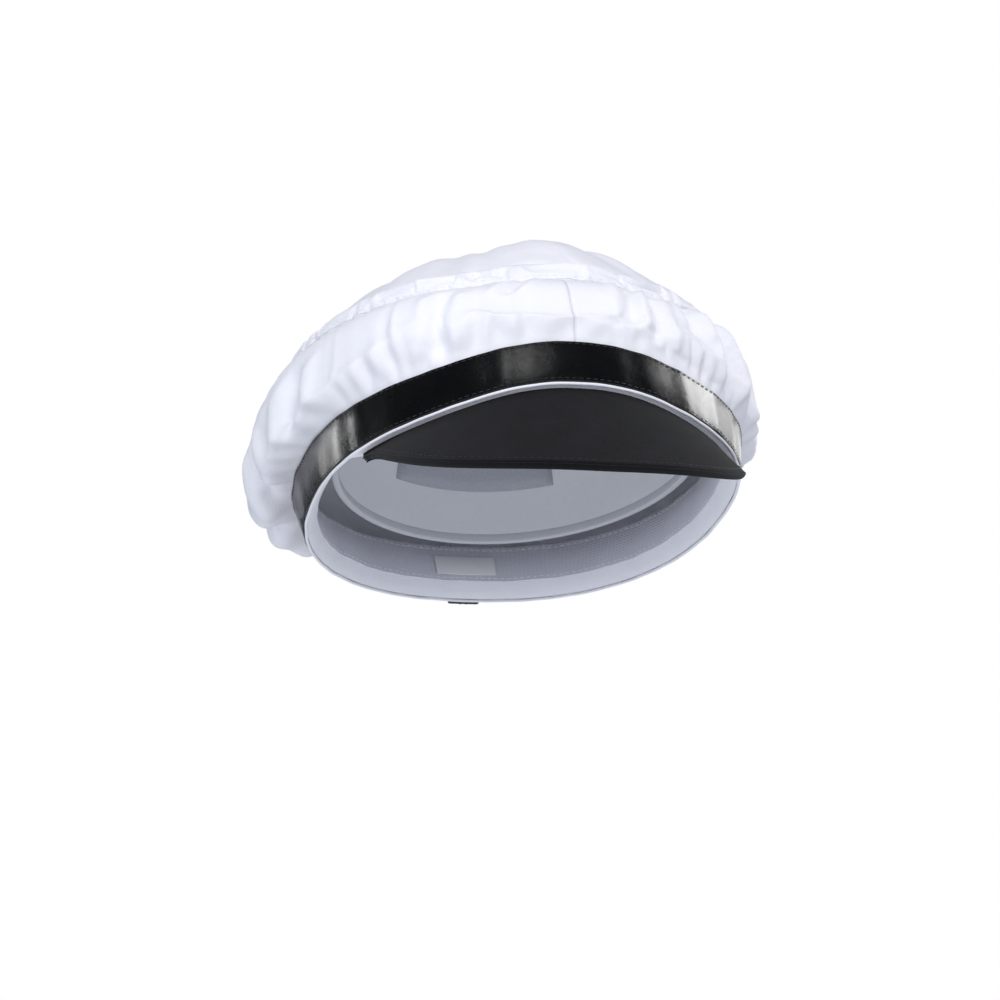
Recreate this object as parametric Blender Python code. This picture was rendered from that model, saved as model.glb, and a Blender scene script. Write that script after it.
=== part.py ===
"""Bump cap: a soft white cloth crown on a black band with a fabric-covered peak and a hard insert.

Frame: the head opening's centre at the band's lower edge is the origin, the peak points to -Y,
+X is the wearer's left and +Z is up. Units are metres.
"""
import math

import bmesh
import bpy
import numpy as np

# --- head band -------------------------------------------------------------------------------
HALF_WIDTH = 0.0900      # outside of the black band, ear to ear
HALF_LENGTH = 0.1042     # outside of the black band, forehead to nape
OVAL_POWER = 2.29        # 2 would be an ellipse
ARCH_RISE = 0.0100       # the rim lifts over the forehead
ARCH_SPREAD = 29.0       # degrees
BAND_WIDTH = 0.0190      # black band, edge to edge
LEAN_FRONT = -7.5        # degrees the band leans outward, going up
LEAN_GAIN = 23.0
LEAN_LIMIT = 29.0
GAP = 0.0003             # left between pieces that touch

LEATHER_T = 0.0010
CLOTH_T = 0.0008
SWEATBAND_T = 0.0010
SWEATBAND_RISE = 0.0070  # the sweatband stands this far above the black band
PIPING_H = 0.0020
PIPING_D = 0.0022
REAR_HALF_ANGLE = 32.0   # elastic zone at the nape
LEATHER_END = 159.0      # the black band stops here, either side of the nape

# --- peak ------------------------------------------------------------------------------------
PEAK_HALF_ANGLE = 63.0
PEAK_LENGTH = 0.0600
PEAK_SLOPE = 55.0        # degrees below the rim plane at the middle
PEAK_LIFT = 3.0          # the ends lie this much flatter
PEAK_POWER = 1.8
PEAK_ROUND = 1.50
PEAK_CLOTH_T = 0.0005
PEAK_BOARD_T = 0.0010
PEAK_FLANGE = 0.0090

# --- crown -----------------------------------------------------------------------------------
SIDE_HEIGHT = 0.0450     # band's top to the seam ring between side and top panels
TOP_RISE = 0.0430        # puff of the top panel above that seam
SIDE_BULGE = 0.0260
FRONT_BULGE = 0.0080
SIDE_SEAM_OUT = 0.0060
FRONT_SEAM_OUT = -0.0120
BACK_SEAM_OUT = 0.0020
CROWN_SAG_X = -0.0020    # the soft crown settles a little to the wearer's right
TOP_CENTRE_X = 0.0040
TUCK = 0.0060            # crown edge held behind the black band

# --- insert ----------------------------------------------------------------------------------
SHELL_SIDE_CLEAR = 0.0041    # sweatband to shell at the sides
SHELL_END_CLEAR = 0.0073     # sweatband to shell at front and back, where the band leans in
SHELL_BRIM_CLEAR = 0.0050    # black band's top edge to the shell's brim
SHELL_TOP_CLEAR = 0.0115     # shell to the crown's highest point, for patches and slack
SHELL_T = 0.0020
SHELL_POWER = 2.4
TRIM_H = 0.0025
PAD_T = 0.0050
PATCH_T = 0.0012

# --- adjuster --------------------------------------------------------------------------------
STRAP_T = 0.0012
STRAP_WIDTH = 0.0140
STRAP_HALF_ANGLE = 39.0
STRAP_STANDOFF = 0.0020
SLIDER_HALF = 0.0070
SLIDER_WALL = 0.0015

# --- sizes that follow from those above --------------------------------------------------------
BASE_OUT = -LEATHER_T - CLOTH_T - 2 * GAP              # outer face of the headband cloth
PEAK_LAYERS = PEAK_BOARD_T + 2 * (PEAK_CLOTH_T + GAP)  # room for the peak's hidden flange
FLANGE_OUT = BASE_OUT - CLOTH_T - GAP
SWEATBAND_OUT = FLANGE_OUT - PEAK_LAYERS - GAP
SWEATBAND_WIDTH = BAND_WIDTH + SWEATBAND_RISE
SEAM_Z = BAND_WIDTH + SIDE_HEIGHT
SHELL_HALF_WIDTH = HALF_WIDTH + SWEATBAND_OUT - SWEATBAND_T - SHELL_SIDE_CLEAR
SHELL_HALF_LENGTH = HALF_LENGTH + SWEATBAND_OUT - SWEATBAND_T - SHELL_END_CLEAR
SHELL_BRIM_Z = BAND_WIDTH + SHELL_BRIM_CLEAR
SHELL_RISE = SEAM_Z + TOP_RISE - SHELL_TOP_CLEAR - SHELL_BRIM_Z

COLOURS = {
    "white cloth": (0.82, 0.83, 0.88), "black leatherette": (0.012, 0.012, 0.013),
    "charcoal cloth": (0.020, 0.020, 0.024), "grey cloth": (0.60, 0.60, 0.66),
    "board": (0.10, 0.10, 0.11), "abs": (0.76, 0.77, 0.80), "foam": (0.39, 0.41, 0.45),
    "black plastic": (0.02, 0.02, 0.02), "white elastic": (0.75, 0.75, 0.76),
    "hook and loop": (0.70, 0.70, 0.70), "buckram": (0.66, 0.64, 0.58),
}


def signed_power(value, power):
    return math.copysign(abs(value) ** power, value)


def rim(t):
    """Outline point and outward normal at t degrees from the front."""
    s, c = math.sin(math.radians(t)), math.cos(math.radians(t))
    e = 2.0 / OVAL_POWER
    p = np.array([HALF_WIDTH * signed_power(s, e), -HALF_LENGTH * signed_power(c, e), 0.0])
    k = 2.0 - e
    n = np.array([signed_power(s, k) / HALF_WIDTH, -signed_power(c, k) / HALF_LENGTH, 0.0])
    return p, n / np.linalg.norm(n)


def wrap(t):
    return (t + 180.0) % 360.0 - 180.0


def arch(t):
    return ARCH_RISE * math.exp(-(wrap(t) / ARCH_SPREAD) ** 2)


def lean(t):
    rise = LEAN_GAIN * (1.0 - math.cos(math.radians(t)))
    return math.radians(LEAN_FRONT + LEAN_LIMIT * math.tanh(rise / LEAN_LIMIT))


def band(t, s, d):
    """s up the slanted band from its lower edge, d outward from its outer face."""
    p, n = rim(t)
    a = lean(t)
    q = p + n * (s * math.sin(a) + d * math.cos(a))
    q[2] = arch(t) + s * math.cos(a) - d * math.sin(a)
    return q


def smooth(x, low, high):
    x = min(max((x - low) / (high - low), 0.0), 1.0)
    return x * x * (3.0 - 2.0 * x)


def nape(t, s, d):
    """Like band(), but with a straight stretch across the nape."""
    p, n = rim(t)
    w = 1.0 - smooth(abs(p[0]), 0.0245, 0.0440)
    p = p.copy()
    p[1] += w * (HALF_LENGTH + STRAP_STANDOFF - p[1])
    n = n * (1.0 - w) + np.array([0.0, 1.0, 0.0]) * w
    n /= np.linalg.norm(n)
    a = lean(t) * (1.0 - w) + lean(180.0) * w
    q = p + n * (s * math.sin(a) + d * math.cos(a))
    q[2] = s * math.cos(a) - d * math.sin(a)
    return q


def crown_side(t, v, _=0.0):
    """v from -1 (tucked edge) through 0 (top of the black band) to 1 (seam ring)."""
    d = -LEATHER_T - GAP - CLOTH_T / 2
    if v <= 0:
        return band(t, BAND_WIDTH + 0.0004 + v * TUCK, d)
    base = band(t, BAND_WIDTH + 0.0004, d)
    _, n = rim(t)
    c = math.cos(math.radians(t))
    front = smooth(c, -0.2, 1.0)
    back = smooth(-c, -0.2, 1.0)
    bulge = SIDE_BULGE + (FRONT_BULGE - SIDE_BULGE) * front
    seam = SIDE_SEAM_OUT + (FRONT_SEAM_OUT - SIDE_SEAM_OUT) * front
    seam += (BACK_SEAM_OUT - SIDE_SEAM_OUT) * back
    rise = SEAM_Z - base[2]
    a, b = (1 - v) ** 2 * v * 3, (1 - v) * v * v * 3
    out = a * bulge + b * (bulge * 0.92 - 0.10 * abs(seam)) + v ** 3 * seam
    up = a * rise * 0.13 + b * rise * 0.86 + v ** 3 * rise
    q = base + n * out
    q[2] += up
    q[0] += CROWN_SAG_X * smooth(v, 0.0, 0.6)
    return q


def crown_top(t, v, _=0.0):
    """v from 0 at the centre to 1 at the seam ring."""
    edge = crown_side(t, 1.0)
    mid = np.array([TOP_CENTRE_X, -0.006, 0.0])
    q = mid + (edge - mid) * v
    q[2] = SEAM_Z + TOP_RISE * max(1.0 - v * v, 0.0) ** 0.6
    return q


def dome(phi, alpha, d=0.0):
    """Impact shell's outer face: alpha from 0 at the crown to 90 at the brim."""
    e = 2.0 / SHELL_POWER
    r = abs(math.sin(math.radians(alpha))) ** e
    s, c = math.sin(math.radians(phi)), math.cos(math.radians(phi))
    z = SHELL_BRIM_Z + SHELL_RISE * abs(math.cos(math.radians(alpha))) ** e
    return np.array([SHELL_HALF_WIDTH * r * s, -SHELL_HALF_LENGTH * r * c, z])


def offset(surface, u, v, d, flip=1.0):
    """Point at distance d along the surface normal, by central differences."""
    p = surface(u, v)
    if d == 0.0:
        return p
    du = surface(u + 0.5, v) - surface(u - 0.5, v)
    h = 0.5 if abs(v) > 1.5 or surface is dome else 0.004
    lo, hi = v - h, v + h
    if surface is dome:
        lo, hi = max(lo, 0.3), min(max(hi, 1.3), 89.999)
    if surface is crown_top:
        lo, hi = max(lo, 0.02), min(max(hi, 0.05), 0.999)
    if surface is crown_side:
        hi = min(hi, 1.0)
    dv = surface(u, hi) - surface(u, lo)
    if v == 0 and surface in (dome, crown_top):
        n = np.array([0.0, 0.0, 1.0])
    else:
        n = np.cross(du, dv) * flip
        n /= np.linalg.norm(n)
    return p + n * d


def peak_length(t):
    x = min(abs(t) / PEAK_HALF_ANGLE, 1.0)
    return PEAK_LENGTH * (1.0 - x ** PEAK_POWER) ** PEAK_ROUND


def peak(t, v, d):
    """v down the peak from the bend under the rim, negative up the hidden flange."""
    middle = FLANGE_OUT - PEAK_LAYERS / 2
    x2 = (t / PEAK_HALF_ANGLE) ** 2
    start = -0.0010 - 0.0022 * x2
    if v < 0:
        return band(t, start - v, middle + d)
    _, n = rim(t)
    a = math.radians(PEAK_SLOPE - PEAK_LIFT * x2)
    z = np.array([0.0, 0.0, 1.0])
    out = n * math.cos(a) - z * math.sin(a)
    return band(t, start, middle) + out * v + (n * math.sin(a) + z * math.cos(a)) * d


def material(name):
    m = bpy.data.materials.get(name) or bpy.data.materials.new(name)
    m.use_nodes = True
    p = m.node_tree.nodes["Principled BSDF"]
    p.inputs["Base Color"].default_value = (*COLOURS[name], 1.0)
    p.inputs["Roughness"].default_value = 0.35 if "leather" in name or "abs" in name else 0.85
    return m


def finish(name, bm, mat):
    bmesh.ops.remove_doubles(bm, verts=bm.verts, dist=1e-6)
    bmesh.ops.dissolve_degenerate(bm, dist=1e-7, edges=bm.edges)
    bmesh.ops.triangulate(bm, faces=bm.faces)
    bmesh.ops.recalc_face_normals(bm, faces=bm.faces)
    if bm.calc_volume(signed=True) < 0:
        bmesh.ops.reverse_faces(bm, faces=bm.faces)
    me = bpy.data.meshes.new(name)
    bm.to_mesh(me)
    bm.free()
    me.materials.append(material(mat))
    ob = bpy.data.objects.new(name, me)
    bpy.context.scene.collection.objects.link(ob)
    return ob


def slab(name, mat, point, us, vs, inner, outer, closed=False, skip=(), tip=False):
    """Closed solid between two layers of a grid; cells in skip are left as through holes.

    With tip the first row is a ring round the surface's centre, which is filled in.
    """
    bm = bmesh.new()
    layers = [[[bm.verts.new(point(u, v, d)) for v in vs] for u in us] for d in (inner, outer)]
    nu, nv = len(us), len(vs)
    cols = nu if closed else nu - 1
    kept = {(i, j) for i in range(cols) for j in range(nv - 1)} - set(skip)
    lo, hi = layers
    for i, j in sorted(kept):
        k = (i + 1) % nu
        for a in layers:
            bm.faces.new((a[i][j], a[k][j], a[k][j + 1], a[i][j + 1]))
        left = ((i - 1) % nu if closed else i - 1, j)
        right = (k if closed else i + 1, j)
        if left not in kept:
            bm.faces.new((lo[i][j], lo[i][j + 1], hi[i][j + 1], hi[i][j]))
        if right not in kept:
            bm.faces.new((lo[k][j], lo[k][j + 1], hi[k][j + 1], hi[k][j]))
        if (i, j - 1) not in kept and not (tip and j == 0):
            bm.faces.new((lo[i][j], lo[k][j], hi[k][j], hi[i][j]))
        if (i, j + 1) not in kept:
            bm.faces.new((lo[i][j + 1], lo[k][j + 1], hi[k][j + 1], hi[i][j + 1]))
    if tip:
        for a, d in ((lo, inner), (hi, outer)):
            centre = bm.verts.new(point(0.0, 0.0, d))
            for i in range(nu):
                bm.faces.new((centre, a[i][0], a[(i + 1) % nu][0]))
        if nv == 1:
            for i in range(nu):
                k = (i + 1) % nu
                bm.faces.new((lo[i][0], lo[k][0], hi[k][0], hi[i][0]))
    return finish(name, bm, mat)


def disc(name, mat, point, count, vs, inner, outer, skip=()):
    """Closed cap of rings around one centre point."""
    us = list(np.linspace(0, 360, count, endpoint=False))
    return slab(name, mat, point, us, vs, inner, outer, True, skip, True)


def on(surface, flip=1.0):
    return lambda u, v, d: offset(surface, u, v, d, flip)


def spread(low, high, count):
    return list(np.linspace(low, high, count))


def build_band():
    full = spread(-180, 180, 65)[:-1]
    slab("leather_band", "black leatherette", band, spread(-LEATHER_END, LEATHER_END, 57),
         [0, BAND_WIDTH], -LEATHER_T, 0, False)
    slab("band_piping", "white cloth", band, full, [-GAP - PIPING_H, -GAP], -0.0016,
         PIPING_D - 0.0016, True)
    d = BASE_OUT
    rear = 180 - REAR_HALF_ANGLE
    slab("headband_base", "white cloth", band, spread(-rear + 0.5, rear - 0.5, 53),
         [0, BAND_WIDTH], d - CLOTH_T, d)
    slab("rear_elastic", "white elastic", band, spread(rear, 360 - rear, 15),
         [0, BAND_WIDTH], d - 0.0010, d)
    d = FLANGE_OUT
    for side, sign in (("right", -1), ("left", 1)):
        us = sorted(sign * a for a in spread(PEAK_HALF_ANGLE + 4, rear - 4, 14))
        slab("band_stiffener_" + side, "buckram", band, us, [0.001, BAND_WIDTH - 0.002],
             d - PEAK_LAYERS + 0.0008, d - 0.0002)
    d = SWEATBAND_OUT
    slab("sweatband", "grey cloth", band, full, [0.0, SWEATBAND_WIDTH / 2, SWEATBAND_WIDTH],
         d - SWEATBAND_T, d, True)
    d -= SWEATBAND_T + GAP
    slab("size_label", "white cloth", band, spread(173, 187, 4), [0.005, 0.019], d - 0.0004, d)


def build_peak():
    th = PEAK_HALF_ANGLE
    us = spread(-th, th, 25)
    half = PEAK_BOARD_T / 2
    flange = [-PEAK_FLANGE, -0.0008]

    def layer(name, mat, low, high):
        def point(t, row, d):
            if row < 0:
                return peak(t, row, d)
            return peak(t, 0.0008 + row * (peak_length(t) + 0.0008), d)
        slab(name, mat, point, us, flange + spread(0, 1, 5), low, high)

    layer("peak_board", "board", -half, half)
    layer("peak_top_cover", "charcoal cloth", half + GAP, half + GAP + PEAK_CLOTH_T)
    layer("peak_under_cover", "charcoal cloth", -half - GAP - PEAK_CLOTH_T, -half - GAP)

    def edge(t, row, d):
        return peak(t, peak_length(t) + 0.0019 + row, d)
    lip = half + GAP + PEAK_CLOTH_T
    slab("peak_binding", "charcoal cloth", edge, us, [0.0, 0.0013], -lip, lip)


def build_crown():
    rows = [-1, -0.05, 0.06, 0.22, 0.45, 0.68, 0.86, 0.975, 0.995]
    half = CLOTH_T / 2
    side = on(crown_side)
    slab("crown_side_right", "white cloth", side, spread(-179.8, -0.2, 31), rows, -half, half)
    slab("crown_side_left", "white cloth", side, spread(0.2, 179.8, 31), rows, -half, half)
    top = on(crown_top, -1.0)
    disc("crown_top_panel", "white cloth", top, 48, [0.3, 0.6, 0.8, 0.92, 0.975, 0.997],
         -half, half)
    inside = half + GAP
    both = spread(-179.8, -0.2, 31) + spread(0.2, 179.8, 31)
    slab("crown_seam_tape", "white cloth", side, both, [0.86, 0.975],
         -inside - 0.0006, -inside, True)
    disc("loop_patch", "hook and loop", top, 48, [0.3], -inside - PATCH_T, -inside)


def build_insert():
    shell = on(dome, -1.0)
    rows = [8, 16, 25, 34, 44, 54, 64, 76, 90]
    vents = [(i, j) for i in range(36) for j in (3, 5) if i % 9 in (3, 5)]
    disc("impact_shell", "abs", shell, 36, rows, -SHELL_T, 0.0, vents)

    def trim(phi, z, d):
        q = offset(dome, phi, 89.5, d, -1.0)
        return np.array([q[0], q[1], SHELL_BRIM_Z - GAP - z])
    slab("shell_edge_trim", "black plastic", trim, spread(0, 350, 36), [0.0, TRIM_H],
         -SHELL_T - 0.0004, 0.0004, True)

    inner = -SHELL_T - GAP
    for name, phi, half in (("pad_front", 0, 30), ("pad_rear", 180, 30),
                            ("pad_left", 90, 20), ("pad_right", 270, 20)):
        slab(name, "foam", shell, spread(phi - half, phi + half, half // 5 + 1),
             rows[5:8], inner - PAD_T, inner)
    disc("pad_crown", "foam", shell, 36, rows[:3], inner - PAD_T, inner)
    disc("hook_patch", "hook and loop", shell, 36, rows[:2], GAP, GAP + PATCH_T)


def build_adjuster():
    a = STRAP_HALF_ANGLE
    mid = BAND_WIDTH / 2
    low, high = mid - STRAP_WIDTH / 2, mid + STRAP_WIDTH / 2
    slab("adjuster_strap", "black leatherette", nape, spread(180 - a, 180 + a, 31),
         [low, high], GAP, GAP + STRAP_T)

    def flat(x, s, d):
        p = nape(180.0, s, d)
        return np.array([x, p[1], p[2]])
    g, w = GAP, SLIDER_WALL
    hole = [(low - g, 0.0), (high + g, 0.0), (high + g, STRAP_T + 2 * g), (low - g, STRAP_T + 2 * g)]
    rim_ = [(low - g - w, -w), (high + g + w, -w), (high + g + w, STRAP_T + 2 * g + w),
            (low - g - w, STRAP_T + 2 * g + w)]
    bm = bmesh.new()
    rings = [[[bm.verts.new(flat(x, s, d)) for s, d in loop] for loop in (hole, rim_)]
             for x in (-SLIDER_HALF, SLIDER_HALF)]
    for i in range(4):
        k = (i + 1) % 4
        for loop in (0, 1):
            bm.faces.new((rings[0][loop][i], rings[0][loop][k], rings[1][loop][k],
                          rings[1][loop][i]))
        for end in (0, 1):
            bm.faces.new((rings[end][0][i], rings[end][0][k], rings[end][1][k],
                          rings[end][1][i]))
    finish("strap_slider", bm, "black plastic")


def main():
    for ob in list(bpy.data.objects):
        bpy.data.objects.remove(ob)
    build_band()
    build_peak()
    build_crown()
    build_insert()
    build_adjuster()


main()
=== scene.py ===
"""Bump cap: gathered white cloth crown, black leatherette band, short cloth-covered peak,
padded lift-out shell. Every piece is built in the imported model's own frame, in metres:
the origin is the centre of the head opening, -Y is the peak side, +Z is up."""

import math
from functools import partial
from types import SimpleNamespace

import bmesh
import bpy
import numpy as np
from bpy.props import FloatProperty, FloatVectorProperty, IntProperty, PointerProperty
from mathutils import Matrix, Vector


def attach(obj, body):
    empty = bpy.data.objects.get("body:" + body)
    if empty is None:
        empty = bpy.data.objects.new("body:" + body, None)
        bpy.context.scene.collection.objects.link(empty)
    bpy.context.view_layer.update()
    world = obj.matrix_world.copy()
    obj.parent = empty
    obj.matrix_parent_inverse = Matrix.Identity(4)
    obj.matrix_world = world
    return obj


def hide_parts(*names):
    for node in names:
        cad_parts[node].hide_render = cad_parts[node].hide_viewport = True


bl_info = {
    "name": "Bump Cap",
    "version": (1, 0, 0),
    "blender": (4, 5, 0),
    "location": "View3D > Sidebar > Bump Cap",
    "description": "Builds a bump cap with a gathered cloth crown, band, peak and padded insert",
    "category": "Object",
}

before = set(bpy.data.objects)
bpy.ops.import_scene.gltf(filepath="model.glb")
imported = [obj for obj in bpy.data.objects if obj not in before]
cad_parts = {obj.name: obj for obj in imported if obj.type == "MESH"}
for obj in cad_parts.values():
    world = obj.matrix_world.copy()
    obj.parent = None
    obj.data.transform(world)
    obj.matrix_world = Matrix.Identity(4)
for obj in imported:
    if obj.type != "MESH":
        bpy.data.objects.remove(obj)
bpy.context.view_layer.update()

# Fits that aren't sizes on the panel, in metres, degrees from the front or shares of a length.
PLY_GAP = 0.0003             # between one layer of cloth and the next
TUCK = 0.006                 # crown cloth turned in behind the band
POUCH_AT, POUCH_SPREAD = -125.0, 38.0
POUCH_OUT, POUCH_DROP = 0.013, 0.62
PEAK_POWER, PEAK_ROUND = 1.8, 1.50   # how the peak's outline leaves its middle and ends
PEAK_START = 0.0008          # the peak's covers start this far below the bend
DOME_POWER = 2.4             # roundness of the hard shell; 2 is an ellipsoid
CLOTH_T = 0.0005             # one ply of crown or peak cloth
MOVE_LIMIT = 0.0050          # how far the settling cloth may leave its first shape
LOOP_DROP = 0.0024           # loop patch, below the crown's top panel
SHELL_MIDDLE = np.array([0.0, 0.0, 0.03])
RIM_TUCK = 0.0056            # how far the sweatband's edge lies above the rim, off the peak


# ------------------------------------------------------------------------------------ helpers
def linear(value):
    """sRGB hex to linear red, green, blue."""
    parts = [int(value[i:i + 2], 16) / 255.0 for i in (1, 3, 5)]
    return tuple(c / 12.92 if c <= 0.04045 else ((c + 0.055) / 1.055) ** 2.4 for c in parts)


def size(name, value, text):
    return FloatProperty(name=name, description=text, default=value, unit="LENGTH", precision=5)


def angle(name, degrees, text):
    return FloatProperty(name=name, description=text, default=math.radians(degrees),
                         subtype="ANGLE")


def colour(name, value, text):
    return FloatVectorProperty(name=name, description=text, default=linear(value), size=3,
                               subtype="COLOR", min=0.0, max=1.0)


class CapSizes(bpy.types.PropertyGroup):
    """Sizes of the cap."""
    half_width: size("Half width", 0.0900, "Outside of the black band, ear to ear, halved")
    half_length: size("Half length", 0.1042, "Outside of the band, forehead to nape, halved")
    oval_power: FloatProperty(name="Oval power", default=2.29, description="2 is an ellipse")
    arch_rise: size("Arch rise", 0.0100, "How far the rim lifts over the forehead")
    arch_spread: FloatProperty(name="Arch spread", default=29.0,
                               description="Half angle of that lift, in degrees")
    band_width: size("Band width", 0.0190, "Black band, edge to edge")
    leather_t: size("Leatherette", 0.0010, "Thickness of the black leatherette")
    cloth_t: size("Cloth", 0.0008, "Thickness of the crown cloth with its turned edges")
    sweatband_width: size("Sweatband width", 0.0260, "Sweatband, edge to edge")
    piping: size("Piping", 0.0013, "Diameter of the white piping")
    rear_angle: FloatProperty(name="Rear angle", default=32.0,
                              description="Half angle of the elastic at the nape, in degrees")
    leather_end: FloatProperty(name="Band end", default=159.0,
                               description="Where the black band stops, degrees from the front")
    peak_angle: FloatProperty(name="Peak half angle", default=63.0,
                              description="Half of the arc the peak is sewn along, in degrees")
    peak_length: size("Peak length", 0.0592, "Peak at its middle")
    peak_slope: angle("Peak slope", 55.0, "How steeply the middle of the peak drops")
    peak_lift: angle("Peak lift", 3.0, "How much flatter the peak lies at its ends")
    seam_z: size("Seam height", 0.0640, "Height of the seam between side and top panels")
    top_rise: size("Top rise", 0.0430, "Puff of the top panel above its seam")
    side_bulge: size("Side bulge", 0.0272, "Overhang of the side panel at the sides")
    front_bulge: size("Front bulge", 0.0080, "Overhang of the side panel over the forehead")
    gather_pitch: size("Gather pitch", 0.0052, "Distance between the small gathers")
    gather_depth: size("Gather depth", 0.00055, "Depth of the small gathers")
    shell_half_width: size("Shell half width", 0.0785, "Outside of the hard shell, halved")
    shell_half_length: size("Shell half length", 0.0895, "Outside of the hard shell, halved")
    shell_brim: size("Shell brim", 0.0240, "Height of the shell's lower edge")
    shell_rise: size("Shell rise", 0.0715, "Height of the shell above its edge")
    shell_t: size("Shell wall", 0.0020, "Wall of the hard shell")
    pad_t: size("Pads", 0.0050, "Thickness of the foam pads")
    strap_width: size("Strap width", 0.0140, "Adjuster strap, edge to edge")
    strap_t: size("Strap", 0.0012, "Thickness of the adjuster strap")
    stitch: size("Stitch", 0.0021, "Length of one stitch")
    stitch_pitch: size("Stitch pitch", 0.0029, "Distance from stitch to stitch")


class CapColours(bpy.types.PropertyGroup):
    """Colours of the finishes."""
    cloth: colour("Cloth", "#F3F3FA", "White poly-cotton")
    leatherette: colour("Leatherette", "#08090A", "Black leatherette")
    felt: colour("Peak cloth", "#111014", "Charcoal brushed cloth")
    binding: colour("Peak binding", "#0D0D10", "Turned edge of the peak")
    sweat: colour("Sweatband", "#D9DAE4", "Brushed tricot")
    elastic: colour("Elastic", "#EDEDEF", "Ribbed elastic")
    shell: colour("Shell", "#E4E5E8", "Moulded shell")
    foam: colour("Foam", "#A9ACB4", "Closed-cell foam")
    trim: colour("Trim", "#C4C6CC", "Shell edge trim")
    nylon: colour("Nylon", "#1A1A1C", "Strap slider")
    hook: colour("Hook and loop", "#E6E6E8", "Fastener patches")
    buckram: colour("Buckram", "#D8D4C8", "Band stiffener")
    floor: colour("Floor", "#F2F2F3", "Studio floor")


class CapStage(bpy.types.PropertyGroup):
    """Camera and light."""
    lens: FloatProperty(name="Lens", default=108.0, description="Focal length in millimetres")
    azimuth: angle("Azimuth", -15.0, "Camera's direction round the cap")
    elevation: angle("Elevation", -23.4, "Camera's height seen from the cap")
    roll: angle("Roll", -3.8, "Tilt of the cap in the picture")
    distance: size("Distance", 1.275, "Camera to the head opening")
    slide_x: size("Slide right", 0.00857, "Cap's offset from the picture's centre, to the right")
    slide_y: size("Slide up", -0.00385, "Cap's offset from the picture's centre, upwards")
    floor_z: size("Floor", -1.6, "Height of the floor")
    cloth_frames: IntProperty(name="Cloth steps", default=14, description="Simulated steps")


def sizes():
    """The sizes as plain numbers, which are quick to read in array work."""
    p = bpy.context.scene.cap_sizes
    return SimpleNamespace(**{k: getattr(p, k) for k in CapSizes.__annotations__})


# --------------------------------------------------------------------------------- the shapes
def smooth(x, low, high):
    """Rises softly from 0 at low to 1 at high."""
    x = np.clip((np.asarray(x, float) - low) / (high - low), 0.0, 1.0)
    return x * x * (3.0 - 2.0 * x)


def signed(v, p):
    """A power that keeps its sign."""
    return np.sign(v) * np.abs(v) ** p


def wrapped(t):
    """Degrees brought into the range from -180 to 180."""
    return (np.asarray(t, float) + 180.0) % 360.0 - 180.0


def bell(x, spread):
    """1 at 0, falling softly on both sides."""
    return np.exp(-(x / spread) ** 2)


def rim(g, t):
    """Outline of the head opening at t degrees from the front, and its outward normal."""
    a = np.radians(np.asarray(t, float))
    s, c = np.sin(a), np.cos(a)
    e = 2.0 / g.oval_power
    p = np.stack([g.half_width * signed(s, e), -g.half_length * signed(c, e), 0 * s], -1)
    n = np.stack([signed(s, 2 - e) / g.half_width, -signed(c, 2 - e) / g.half_length, 0 * s], -1)
    return p, n / np.linalg.norm(n, axis=-1, keepdims=True)


def arch(g, t):
    """How far the rim is lifted over the forehead."""
    return g.arch_rise * bell(wrapped(t), g.arch_spread)


def lean(t):
    """How far the band leans outward, going up: inward over the forehead, outward behind."""
    rise = 23.0 * (1.0 - np.cos(np.radians(t)))
    return np.radians(-7.5 + 29.0 * np.tanh(rise / 29.0))


def place(p, n, z0, a, s, d):
    """Moves rim points s up a surface that leans outward by a, and d outward from it."""
    q = p + n * (s * np.sin(a) + d * np.cos(a))[..., None]
    q[..., 2] = z0 + s * np.cos(a) - d * np.sin(a)
    return q


def band(g, t, s, d):
    """s up the slanted band from its lower edge, d outward from its outer face."""
    t, s, d = np.broadcast_arrays(*(np.asarray(x, float) for x in (t, s, d)))
    p, n = rim(g, t)
    return place(p, n, arch(g, t), lean(t), s, d)


def nape(g, t, s, d):
    """Like band(), with a straight stretch across the nape where the strap runs."""
    t, s, d = np.broadcast_arrays(*(np.asarray(x, float) for x in (t, s, d)))
    p, n = rim(g, t)
    w = 1.0 - smooth(np.abs(p[..., 0]), 0.0245, 0.0440)
    p[..., 1] += w * (g.half_length + 0.0020 - p[..., 1])
    n = n * (1.0 - w)[..., None] + np.array([0.0, 1.0, 0.0]) * w[..., None]
    n /= np.linalg.norm(n, axis=-1, keepdims=True)
    a = lean(t) * (1.0 - w) + lean(180.0) * w
    return place(p, n, 0 * s, a, s, d)


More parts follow.
